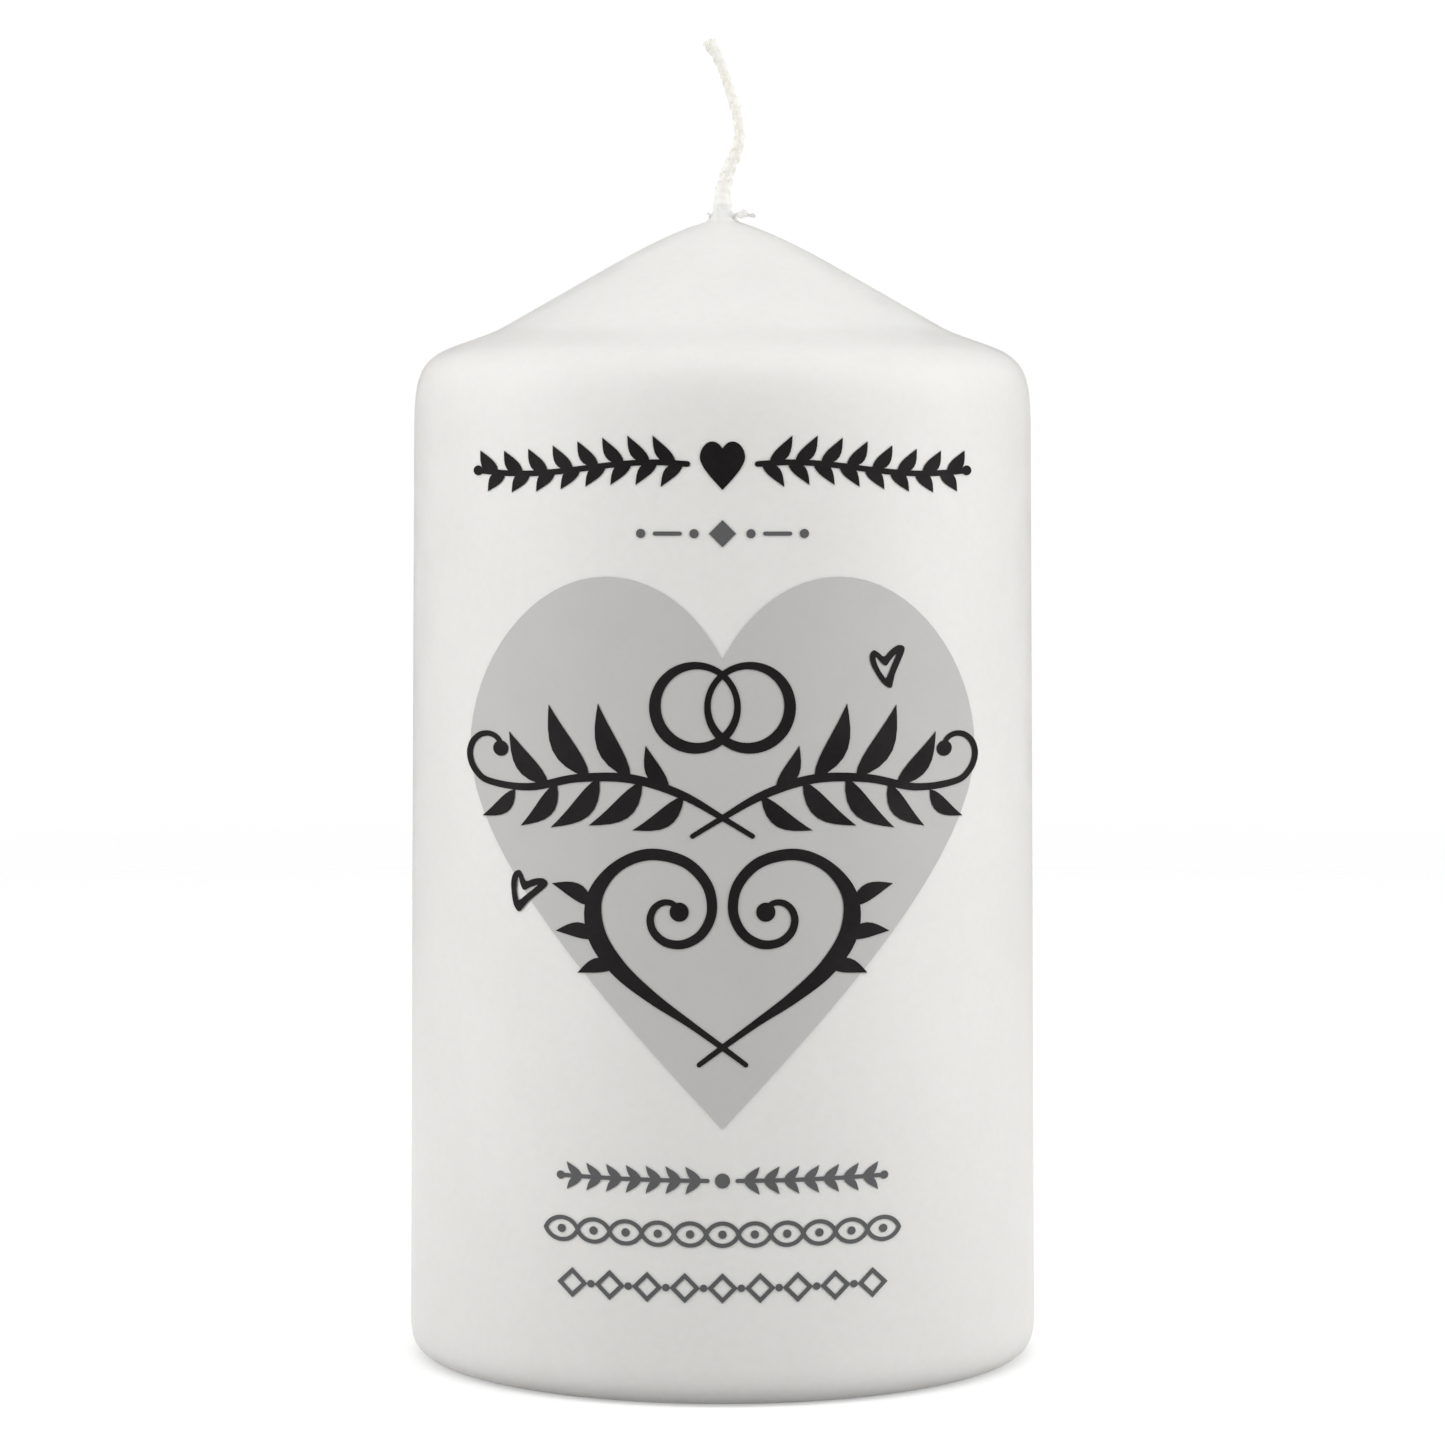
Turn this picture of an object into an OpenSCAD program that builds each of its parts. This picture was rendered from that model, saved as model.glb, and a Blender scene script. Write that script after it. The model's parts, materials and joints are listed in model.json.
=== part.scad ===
// Unity candle: a wide pillar with a conical top, one braided wick and a printed front.
// The pillar stands on z = 0 with its axis on +Z, and its printed front faces -Y.

/* [Pillar] */
// Diameter at the foot
foot_d = 80; // [70:1:100]
// How much narrower the pillar is at the shoulder than at the foot
taper = 1.8; // [0.6:0.2:4]
// Height of the ledge's inner edge, where the cone starts
cone_z = 130.3; // [120:0.1:160]
// Angle of the cone above level
cone_angle = 29.7; // [20:0.1:35]
// Rounding at the foot
foot_round = 3.4; // [2:0.1:4]
// Thickness of the hard outer coat
coat = 1.5; // [1:0.1:2.5]

/* [Wick] */
// Diameter of the braided wick
wick_d = 1.6; // [1.2:0.1:2.4]
// Diameter of the sustainer disc under the wick
disc_d = 20; // [16:1:30]
// Height of the sustainer's crimped neck
neck_h = 9; // [5:1:15]
// Sheet thickness of the sustainer
sheet = 0.3; // [0.2:0.1:0.5]

/* [Print] */
// Thickness of one layer of ink
ink = 0.1; // [0.05:0.05:0.2]
// Thinnest line of the black decoration
hairline = 0.6; // [0.4:0.1:0.8]
// Line width of the small grey rows
row_line = 0.5; // [0.4:0.1:0.7]

/* [Hidden] */
$fn = 180;

WAX = "#ebeae6";
COTTON = "#efeadd";
TIN = "#b9bcc0";
GREY = "#bebdba";
DARK = "#636466";
BLACK = "#231f20";

// Pillar profile, as [radius, height]
foot_r = foot_d / 2;
shoulder_z = cone_z - 9;                    // top of the straight side
shoulder_r = foot_r - taper / 2;
shoulder_pull = [shoulder_r, cone_z - 3.6];
ledge_out = [foot_r - 5.25, cone_z - 2.1];
ledge_in = [foot_r - 11.4, cone_z];
cone_slope = tan(cone_angle);
dome_r = 14;                                // the cone rounds over inside this radius
dome_z = cone_z + cone_slope * (ledge_in[0] - dome_r);
dome_pull = [dome_r / 2, dome_z + cone_slope * dome_r / 2];
crest_r = 2.2;                              // the wax climbs the wick inside this radius
crest_sink = 1.26;                          // how far the crest lies below the cone's straight line
crest_z = dome_z + cone_slope * (dome_r - crest_r) - crest_sink;
collar_r = wick_d / 2 + 0.12;               // the wax ends in a thin rim round the wick
collar_z = crest_z + 2.6;
collar_pull = [collar_r + 0.15, crest_z + 0.9];

// Foot of the core, inside the coat
core_foot_round = foot_round + coat - 0.4;
core_foot_r = foot_r - coat - core_foot_round;

// Wick and sustainer
wick_r = wick_d / 2;
wick_sides = 12;
recess = 0.4;                               // underside of the disc above the foot
disc_r = disc_d / 2;
neck_r = wick_r + 0.05;
rib_r = disc_r * 0.67;                      // middle of the stiffening rib
rib_h = 0.4;
wick_foot_z = recess + 0.2;
// Free end of the wick, as offsets from the crest of the wax: a lazy S that leans left at its tip
wick_stub = [
    [0, 0, 3.4], [0.3, 0, 4.9], [0.9, -0.1, 6.9], [1.7, -0.3, 8.7], [2.15, -0.4, 10.6],
    [1.9, -0.3, 13], [1.2, 0, 15.6], [0.4, 0.3, 18.2], [-0.6, 0.4, 20.7], [-1.9, 0.5, 22.9]
];

// The print is drawn for an 80 mm pillar and scales with it
art = min(foot_d / 80, cone_z / 130.3);
curve_steps = 7;
leaf_steps = 8;

// ---------- curves ----------

// Point at t on a curve through b and c, with a before and d after them
function through(a, b, c, d, t) =
    0.5 * (2 * b + (c - a) * t + (2 * a - 5 * b + 4 * c - d) * t * t
    + (3 * b - a - 3 * c + d) * t * t * t);

// Smooth line through a list of stations
function smooth(s, steps = curve_steps) = concat(
    [for (i = [0 : len(s) - 2], k = [0 : steps - 1])
        through(s[max(i - 1, 0)], s[i], s[i + 1], s[min(i + 2, len(s) - 1)], k / steps)],
    [s[len(s) - 1]]);

// Smooth closed line through its stations
function smooth_loop(s, steps = 3) = let (n = len(s))
    [for (i = [0 : n - 1], k = [0 : steps - 1])
        through(s[(i + n - 1) % n], s[i], s[(i + 1) % n], s[(i + 2) % n], k / steps)];

function bend2(a, b, c, t) = (1 - t) * (1 - t) * a + 2 * t * (1 - t) * b + t * t * c;
function bend3(a, b, c, d, t) = (1 - t) * bend2(a, b, c, t) + t * bend2(b, c, d, t);

// Curve from a to c pulled towards b, with its last point left off
function arc2(a, b, c, steps = 6) = [for (k = [0 : steps - 1]) bend2(a, b, c, k / steps)];
function arc3(a, b, c, d, steps = 16) = [for (k = [0 : steps - 1]) bend3(a, b, c, d, k / steps)];

// Pen stations along a spiral: radius r0 to r1 and width w0 to w1 over a turn in degrees
function spiral(centre, r0, r1, from, turn, w0, w1, n) =
    [for (k = [0 : n]) let (t = k / n, a = from + turn * t, r = r0 * pow(r1 / r0, t))
        [centre[0] + r * cos(a), centre[1] + r * sin(a), w0 + (w1 - w0) * t]];

// ---------- pillar ----------

// Radius of the straight side at a height
function side_r(z) =
    foot_r - (foot_r - shoulder_r) * (z - foot_round) / (shoulder_z - foot_round);

// Half outline from the foot to the crest: the coat's outside at t = 0, the core's at t = coat
function outline(t) =
    let (start = t > 0 ? core_foot_r : foot_r - foot_round,
        rise = t > 0 ? core_foot_round : foot_round,
        side = side_r(rise) - t,
        down = [0, -t])
    concat(
        [for (a = [0 : 10 : 80]) [start + (side - start) * sin(a), rise * (1 - cos(a))]],
        [[side, rise]],
        arc2([side_r(shoulder_z) - t, shoulder_z], shoulder_pull + [-t, -t], ledge_out + [-t / 2, -t]),
        [ledge_out + [-t / 2, -t], ledge_in + down],
        arc2([dome_r, dome_z - t], dome_pull + down, [crest_r, crest_z - t]),
        [[crest_r, crest_z - t]]);

module overdip_coat() {
    color(WAX) rotate_extrude() difference() {
        polygon(concat(
            [[0, 0]], outline(0),
            arc2([crest_r - 0.01, crest_z], collar_pull, [collar_r, collar_z]),
            [[collar_r, collar_z], [0, collar_z]]));
        polygon(concat([[0, -1], [core_foot_r, -1]], outline(coat), [[0, crest_z - coat]]));
        square([wick_r, collar_z + 1]);
    }
}

// Upper face of the sustainer, from its rim in to its neck
function sustainer_top() = let (top = recess + sheet) [
    [disc_r, top], [rib_r + 0.7, top], [rib_r + 0.3, top + rib_h], [rib_r - 0.3, top + rib_h],
    [rib_r - 0.7, top], [neck_r + sheet + 1.2, top], [neck_r + sheet, top + 0.9],
    [neck_r + sheet, recess + neck_h]
];

module wax_core() {
    color(WAX) rotate_extrude() difference() {
        polygon(concat([[0, 0]], outline(coat), [[0, crest_z - coat]]));
        polygon(concat([[0, -1], [disc_r, -1]], sustainer_top(), [[0, recess + neck_h]]));
        square([wick_r, crest_z]);
    }
}

module wick_sustainer() {
    rib = rib_h + recess;
    color(TIN) rotate_extrude() polygon(concat(
        sustainer_top(),
        [[neck_r, recess + neck_h], [neck_r, recess + 0.9], [neck_r + 1, recess],
            [rib_r - 0.6, recess], [rib_r - 0.2, rib], [rib_r + 0.2, rib],
            [rib_r + 0.6, recess], [disc_r, recess]]));
}

// ---------- wick ----------

function unit(v) = v / norm(v);

// Points of the ring of the tube at point i of a path
function ring_at(path, i, r) =
    let (ahead = unit(path[min(i + 1, len(path) - 1)] - path[max(i - 1, 0)]),
        side = unit(cross([0, 1, 0], ahead)),
        up = cross(ahead, side))
    [for (k = [0 : wick_sides - 1]) let (a = k * 360 / wick_sides)
        path[i] + r * (cos(a) * side + sin(a) * up)];

module tube(path, r) {
    n = wick_sides;
    last = len(path) - 1;
    polyhedron(
        points = [for (i = [0 : last]) each ring_at(path, i, r)],
        faces = concat(
            [[for (k = [0 : n - 1]) k]],
            [[for (k = [n - 1 : -1 : 0]) last * n + k]],
            [for (i = [0 : last - 1], k = [0 : n - 1])
                [i * n + k, (i + 1) * n + k, (i + 1) * n + (k + 1) % n, i * n + (k + 1) % n]]));
}

module wick() {
    stub = [for (p = smooth(wick_stub, 2)) p + [0, 0, crest_z]];
    color(COTTON) tube(concat([[0, 0, wick_foot_z]], stub), wick_r);
}

// ---------- drawing the print ----------

function heading(p, i) = let (a = p[max(i - 1, 0)], b = p[min(i + 1, len(p) - 1)])
    atan2(b[1] - a[1], b[0] - a[0]);
function beside(p, i, turn) = let (a = heading(p, i) + turn)
    [p[i][0] + cos(a) * p[i][2] / 2, p[i][1] + sin(a) * p[i][2] / 2];

// Pen stroke through stations [x, z, width], with round ends
module pen(stations) {
    p = smooth(stations);
    last = len(p) - 1;
    polygon(concat(
        [for (i = [0 : last]) beside(p, i, 90)],
        [for (k = [1 : 5]) beside(p, last, 90 - 30 * k)],
        [for (i = [last : -1 : 0]) beside(p, i, -90)],
        [for (k = [1 : 5]) beside(p, 0, -90 - 30 * k)]));
}

// Pointed leaf from its base, with its middle bowed by a part of its length
module leaf(base, angle, length, width, bow = 0) {
    function side(s, k) = let (t = k / leaf_steps)
        [length * t, bow * length * sin(180 * t) + s * width / 2 * sin(180 * pow(t, 0.8))];
    translate(base) rotate(angle) polygon(concat(
        [for (k = [0 : leaf_steps]) side(1, k)],
        [for (k = [leaf_steps - 1 : -1 : 1]) side(-1, k)]));
}

module dot(at, r) translate([at[0], at[1]]) circle(r = r);

// Ring whose line swells on the side away from the shift
module ring(at, r, line, shift) translate(at) difference() {
    circle(r = r);
    translate(shift) circle(r = r - line);
}

module both_sides() {
    children();
    mirror([1, 0]) children();
}

// Right half of a heart with its cleft at x = 0, for a heart 61.8 wide
HEART_RIGHT = concat(
    arc3([0, 56.3], [3.2, 62.5], [8.3, 66.2], [14, 66.2]),
    arc3([14, 66.2], [23, 66.2], [30.9, 55.5], [30.9, 45]),
    arc3([30.9, 45], [30.9, 32], [13, 14], [0, 0]));

// Heart of a given width standing on its point
module heart(width) {
    k = width / 61.8;
    n = len(HEART_RIGHT) - 1;
    polygon(k * concat(
        HEART_RIGHT, [[0, 0]], [for (i = [n : -1 : 1]) [-HEART_RIGHT[i][0], HEART_RIGHT[i][1]]]));
}

module heart_art() translate([0, 34]) heart(61.8);

// Two sprigs of leaves either side of a small heart
module title_art() {
    line = 113.2;
    sway = 0.7;
    function stem_z(x) = line + sway * sin(x * 11);
    translate([0, 110.6]) heart(5.4);
    both_sides() {
        pen([for (x = [4.2 : 3.2 : 29.8]) [x, stem_z(x), 0.7]]);
        dot([29.8, stem_z(29.8)], 0.6);
        for (i = [0 : 7]) let (x = 5.6 + 3.1 * i, long = 4.3 - 0.12 * i) {
            leaf([x, stem_z(x)], 50, long, 1.6, -0.1);
            leaf([x - 0.9, stem_z(x - 0.9)], -46, long * 0.9, 1.5, 0.1);
        }
    }
}

// Lozenge, dashes and dots
module divider_art() {
    line = 105.4;
    module dash(x) pen([[x - 1.5, line, row_line], [x + 1.5, line, row_line]]);
    translate([0, line]) rotate(45) square(2.3, center = true);
    both_sides() {
        dot([3.4, line], 0.55);
        dash(6.6);
        dot([9.8, line], 0.55);
    }
}

LAUREL_STEM = concat(
    [[-3.6, 69.2, 0.6], [0, 71.4, 0.7], [5, 74.2, 1], [11, 76, 1.1], [17.5, 75.9, 1], [23.4, 74.6, 0.9]],
    spiral([28.2, 79], 4, 1.2, -87, 262, 0.8, 0.6, 8));
// Laurel leaves: [x, z, angle, length, width]
LAUREL_UP = [
    [6.4, 74.7, 62, 6, 2], [11, 76, 66, 9.8, 2.7], [16, 76, 60, 10, 2.8], [21, 74.9, 52, 8, 2.4]
];
LAUREL_DOWN = [
    [4.6, 74, -34, 7.5, 2.2], [9.6, 75.7, -40, 8.5, 2.5], [14.8, 76, -46, 8.6, 2.5],
    [20, 75.2, -50, 7, 2.2], [25.2, 74.2, -40, 5.4, 1.8]
];

// Two linked rings over crossed laurel branches
module laurel_art() {
    tip = LAUREL_STEM[len(LAUREL_STEM) - 1];
    both_sides() {
        ring([3.3, 84.6], 5.5, 1.1, [-0.3, 0.2]);
        pen([for (s = LAUREL_STEM) [s[0], s[1], max(s[2], hairline)]]);
        dot(tip, 0.95);
        for (s = LAUREL_UP) leaf([s[0], s[1]], s[2], s[3], s[4], -0.1);
        for (s = LAUREL_DOWN) leaf([s[0], s[1]], s[2], s[3], s[4], -0.12);
    }
}

SCROLL = concat(
    spiral([6.3, 59.6], 1.2, 7.8, 157, -447, 0.6, 1.4, 13),
    [[12.9, 65.2, 1.4], [15.4, 61.6, 1.9], [15.2, 57.2, 2.3], [12.6, 53.2, 2.1], [8.6, 49.8, 1.5],
        [4.2, 46.8, 0.9], [0, 43.8, 0.7], [-2.8, 41.7, 0.6]]);
SCROLL_LEAVES = [[15.6, 60.6, 26, 5.6, 2], [15, 56.8, 6, 5.2, 1.9], [12.8, 53.4, -12, 4.8, 1.8]];

// Two scrolls that meet in a point, with short leaves outside
module scroll_art() {
    both_sides() {
        pen([for (s = SCROLL) [s[0], s[1], max(s[2], hairline)]]);
        dot(SCROLL[0], 1.15);
        for (s = SCROLL_LEAVES) leaf([s[0], s[1]], s[2], s[3], s[4], 0.1);
    }
}

// Edges of a small heart drawn with a brush, one lobe taller than the other, from its point
BRUSH_OUTSIDE = [
    [0, 0], [-0.8, 0.5], [-1.6, 1.6], [-2.3, 2.9], [-2.45, 4], [-2, 4.6], [-1.4, 4.3], [-0.7, 3.8],
    [0, 4.5], [0.9, 5.1], [1.6, 5.05], [1.8, 4.5], [1.2, 3], [0.6, 1.6], [0.3, 0.3]
];
BRUSH_INSIDE = [
    [-1.7, 3.8], [-1.7, 3.3], [-1.3, 2.3], [-0.7, 1.4], [-0.4, 1.3], [0.3, 2.9], [0.8, 4.1],
    [0.1, 3.4], [-0.45, 2.7], [-1.1, 3.1]
];

module small_heart_art(point, turn) translate(point) rotate(turn) difference() {
    polygon(smooth_loop(BRUSH_OUTSIDE));
    polygon(smooth_loop(BRUSH_INSIDE));
}

// Garland: leaf pairs along a thin stem, from the middle outwards
module garland_art() {
    line = 27.7;
    dot([0, line], 0.9);
    both_sides() {
        pen([[1.8, line, row_line], [19.4, line, row_line]]);
        for (i = [0 : 6]) let (x = 2.6 + 2.4 * i) {
            leaf([x, line], 42, 2.5, 0.95, -0.08);
            leaf([x, line], -42, 2.5, 0.95, 0.08);
        }
        dot([19.6, line], row_line);
    }
}

// Open lens between two arcs, drawn with a line centred on them
module lens(length, height, line) {
    off_axis = (length * length / height - height) / 4;
    r = off_axis + height / 2;
    module solid(grow) intersection() {
        translate([0, off_axis]) circle(r = r + grow);
        translate([0, -off_axis]) circle(r = r + grow);
    }
    difference() {
        solid(line / 2);
        solid(-line / 2);
    }
}

// Chain of lenses with a dot in each
module chain_art() {
    line = 21.2;
    pitch = 3.9;
    for (i = [-5 : 5]) {
        translate([i * pitch, line]) lens(pitch, 2.7, row_line);
        dot([i * pitch, line], row_line);
    }
}

// Open lozenges with dots between them
module lozenge_art() {
    line = 14.7;
    pitch = 4.55;
    side = 2.6;
    for (i = [-4 : 4]) translate([i * pitch, line]) rotate(45) difference() {
        square(side, center = true);
        square(side - 2 * row_line, center = true);
    }
    for (i = [-4 : 3]) dot([(i + 0.5) * pitch, line], row_line * 0.9);
}

// ---------- putting ink on the pillar ----------

// Skin over the side of the pillar, between two heights above the wax
module skin(low, high) {
    z0 = foot_round;
    z1 = shoulder_z;
    over = 1;
    difference() {
        translate([0, 0, z0])
            cylinder(h = z1 - z0, r1 = side_r(z0) + high, r2 = side_r(z1) + high);
        translate([0, 0, z0 - over])
            cylinder(h = z1 - z0 + 2 * over, r1 = side_r(z0 - over) + low, r2 = side_r(z1 + over) + low);
    }
}

// Wraps a drawing onto the front of the pillar as layers of ink
module printed(layers = 1) {
    intersection() {
        rotate([90, 0, 0]) linear_extrude(foot_d) scale(art) children();
        skin(0, layers * ink);
    }
}

module print_heart() color(GREY) printed() heart_art();

// Black ink lies on the grey heart where they cross, and on the wax elsewhere
module over_heart() {
    color(BLACK) difference() {
        printed(2) children();
        printed() heart_art();
    }
}

module print_title_sprigs() color(BLACK) printed() title_art();
module print_divider() color(DARK) printed() divider_art();
module print_rings_and_laurel() over_heart() laurel_art();
module print_scrolls() over_heart() scroll_art();
module print_small_heart_right() over_heart() small_heart_art([20.2, 86.7], 0);
module print_small_heart_left() over_heart() small_heart_art([-24.9, 59.4], -26);
module print_garland_row() color(DARK) printed() garland_art();
module print_chain_row() color(DARK) printed() chain_art();
module print_lozenge_row() color(DARK) printed() lozenge_art();

overdip_coat();
wax_core();
wick();
wick_sustainer();
print_heart();
print_title_sprigs();
print_divider();
print_rings_and_laurel();
print_scrolls();
print_small_heart_right();
print_small_heart_left();
print_garland_row();
print_chain_row();
print_lozenge_row();
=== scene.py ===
"""Looks of the unity candle: a dipped wax pillar with a braided wick and a printed front."""

import json
import math
import random

import bmesh
import bpy
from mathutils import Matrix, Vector, noise


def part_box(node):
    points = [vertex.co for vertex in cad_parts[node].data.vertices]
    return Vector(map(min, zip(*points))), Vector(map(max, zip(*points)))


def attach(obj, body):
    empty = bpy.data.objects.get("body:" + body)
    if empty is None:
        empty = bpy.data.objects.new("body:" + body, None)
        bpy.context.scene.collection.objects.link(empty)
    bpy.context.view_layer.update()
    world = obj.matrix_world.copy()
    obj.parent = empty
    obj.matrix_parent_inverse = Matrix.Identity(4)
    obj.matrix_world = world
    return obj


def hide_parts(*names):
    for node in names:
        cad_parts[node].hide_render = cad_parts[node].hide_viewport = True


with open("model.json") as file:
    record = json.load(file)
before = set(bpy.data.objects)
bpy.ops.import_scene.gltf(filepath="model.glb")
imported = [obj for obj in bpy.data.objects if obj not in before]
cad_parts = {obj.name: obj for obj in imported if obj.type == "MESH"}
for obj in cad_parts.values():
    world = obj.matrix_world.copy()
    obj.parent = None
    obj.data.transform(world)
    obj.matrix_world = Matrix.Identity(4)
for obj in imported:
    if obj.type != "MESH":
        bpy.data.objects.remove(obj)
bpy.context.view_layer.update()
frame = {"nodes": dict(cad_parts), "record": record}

MM = 0.001

# Camera
CAMERA_AT = Vector((0, -630, 118)) * MM
CAMERA_AIM = Vector((0, 0, 80.5)) * MM
LENS_MM = 123.3

# Candle, read off the frame
COLLAR_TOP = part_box("overdip_coat")[1].z
CREST_Z = COLLAR_TOP - 2.6 * MM  # where the cone ends and the wax climbs the wick
WICK_FOOT_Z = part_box("wick")[0].z
INK = 0.1 * MM  # one layer of ink
SIDE_FOOT, SIDE_TOP = 5 * MM, 120 * MM  # heights between which the side is straight

# Wax surface
TURN_STEPS = 320  # faces round the pillar
RING_STEP = 0.6 * MM  # height of the faces up the outline
OUTLINE_EASE = 8  # passes that ease the outline's corners
DENT_DEPTH = 0.07 * MM  # the skin isn't perfectly round
SAG_DEPTH = 0.22 * MM  # how unevenly the dip gathered under the shoulder
SAG_START = (118 * MM, 124 * MM)  # it sets in between these heights
SAG_END = (128 * MM, 132 * MM)  # and fades out between these
WICK_ZONE = 4.5 * MM  # inside this radius the outline is small and kept sharper
COLLAR_LUMP = 0.22 * MM  # unevenness of the wax that climbs the wick
COLLAR_LUMP_END = (1.6 * MM, 4 * MM)  # which fades out between these radii
COLLAR_TUCK = 0.4 * MM  # the rim of the collar is tucked inside the waxed foot of the wick
COLLAR_TUCK_ZONE = 1.4 * MM  # which sets in this far below the rim
FOOT_ZONE = 1.5 * MM  # the faults set in above the foot, so that the candle stands flat

# Free end of the wick, as offsets from the crest in millimetres: a lazy S that leans left at its tip
WICK_STUB = [
    (0, 0, 1), (0, 0, 2.2), (0, 0, 3.4), (0.3, 0, 4.9), (0.9, -0.1, 6.9), (1.7, -0.3, 8.7),
    (2.15, -0.4, 10.6), (1.9, -0.3, 13), (1.2, 0, 15.6), (0.4, 0.3, 18.2), (-0.6, 0.4, 20.7),
    (-1.9, 0.5, 22.9),
]
WICK_SLIM = 1.36 * MM  # its width halfway up
WICK_STOUT = 0.72 * MM  # what wax adds to that at its foot
STOUT_END = (3 * MM, 13 * MM)  # which fades out between these heights above the crest
WICK_SPLAY = 0.5 * MM  # what the cut adds to the width at its tip
SPLAY_START = (19.5 * MM, 22.8 * MM)  # which sets in between these
FILM_END = (1 * MM, 6 * MM)  # and the white wax on it fades out between these
WICK_STEP = 0.16 * MM  # length of the faces along the loose end
STRANDS = 3
YARNS = 3  # in each strand
PLAIT_PITCH = 4.6 * MM
YARN_TWIST = 3.1 * MM
PLAIT_HALF_WIDTH = 0.24  # from the middle of the plait to a strand, as part of the wick's width
PLAIT_HALF_DEPTH = 0.13  # so is this
YARN_OFFSET = 0.13  # and this, from the middle of a strand to the middle of a yarn
YARN_RADIUS = 0.135  # and this
YARN_SIDES = 10
WAX_CORE = 0.36  # radius of the wax in the middle of the plait, as part of the wick's width
WAX_FOOT = 0.18  # what its foot adds to that
WAX_FOOT_END = (1.5 * MM, 5 * MM)  # which fades out between these heights above the crest
WAXED_VOXEL = 0.065 * MM  # detail that the wax film leaves on the plait
WAXED_EASE = 18  # passes that fill the creases
FUZZ_FIBRES = 18
FIBRE_LENGTHS = (0.25, 0.6)  # the shortest and the longest, in millimetres
FIBRE_RADIUS = 0.016 * MM
FIBRE_STEP = 0.15 * MM

# Print
STRIP = 1.4 * MM  # width of the strips that follow the curve of the pillar
WELD = 1e-7  # points closer than this, in metres, are one
SINK = 0.2 * INK  # how deep the ink's underside lies in the wax

SHARP_ANGLE = math.radians(40)  # edges sharper than this are shaded as edges
WAX_GLOW = (1.0, 0.85, 0.7)  # how far red, green and blue light spread in wax

random.seed(11)


# ---------- small helpers ----------

def new_piece(name, verts, faces, material):
    """A smooth-shaded mesh object made from points and faces, which run anticlockwise from outside."""
    mesh = bpy.data.meshes.new(name)
    mesh.from_pydata(verts, [], faces)
    return finish_piece(name, mesh, material)


def finish_piece(name, mesh, material):
    """Links a mesh as a piece that rides on the candle's one body."""
    tidy = bmesh.new()
    tidy.from_mesh(mesh)
    for face in tidy.faces:
        face.smooth = True
    for edge in tidy.edges:
        if len(edge.link_faces) == 2:
            edge.smooth = edge.calc_face_angle(0) < SHARP_ANGLE
    tidy.to_mesh(mesh)
    tidy.free()
    piece = bpy.data.objects.new(name, mesh)
    bpy.context.scene.collection.objects.link(piece)
    mesh.materials.clear()
    mesh.materials.append(material)
    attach(piece, "root")
    return piece


def between(low, high, value):
    """0 below low, 1 above high, and smooth between."""
    t = min(max((value - low) / (high - low), 0), 1)
    return t * t * (3 - 2 * t)


def through(a, b, c, d, t):
    """Point at t on a smooth curve through b and c."""
    return 0.5 * (
        2 * b + (c - a) * t + (2 * a - 5 * b + 4 * c - d) * t * t
        + (3 * b - a - 3 * c + d) * t ** 3
    )


def smooth_path(points, step):
    """Points about a step apart on a smooth curve through the given ones."""
    path = []
    last = len(points) - 1
    for i in range(last):
        a, b = points[max(i - 1, 0)], points[i]
        c, d = points[i + 1], points[min(i + 2, last)]
        count = max(1, round((c - b).length / step))
        path += [through(a, b, c, d, k / count) for k in range(count)]
    return path + [points[-1]]


def with_sides(path):
    """The points of a path, each with two directions across it that twist as little as they can."""
    last = len(path) - 1
    across = Vector((0, 1, 0))
    for i, at in enumerate(path):
        ahead = (path[min(i + 1, last)] - path[max(i - 1, 0)]).normalized()
        side = across.cross(ahead).normalized()
        across = ahead.cross(side).normalized()
        yield at, side, across


def tube(path, radii, sides, verts, faces):
    """Adds a closed tube along a path to a list of points and a list of faces."""
    first = len(verts)
    last = len(path) - 1
    for (at, side, across), radius in zip(with_sides(path), radii):
        for k in range(sides):
            turn = math.tau * k / sides
            verts.append(at + radius * (math.cos(turn) * side + math.sin(turn) * across))
    for i in range(last):
        a, b = first + i * sides, first + (i + 1) * sides
        for k in range(sides):
            after = (k + 1) % sides
            faces.append((a + k, a + after, b + after, b + k))
    faces.append(tuple(first + k for k in reversed(range(sides))))
    faces.append(tuple(first + last * sides + k for k in range(sides)))


# ---------- materials ----------

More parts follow.
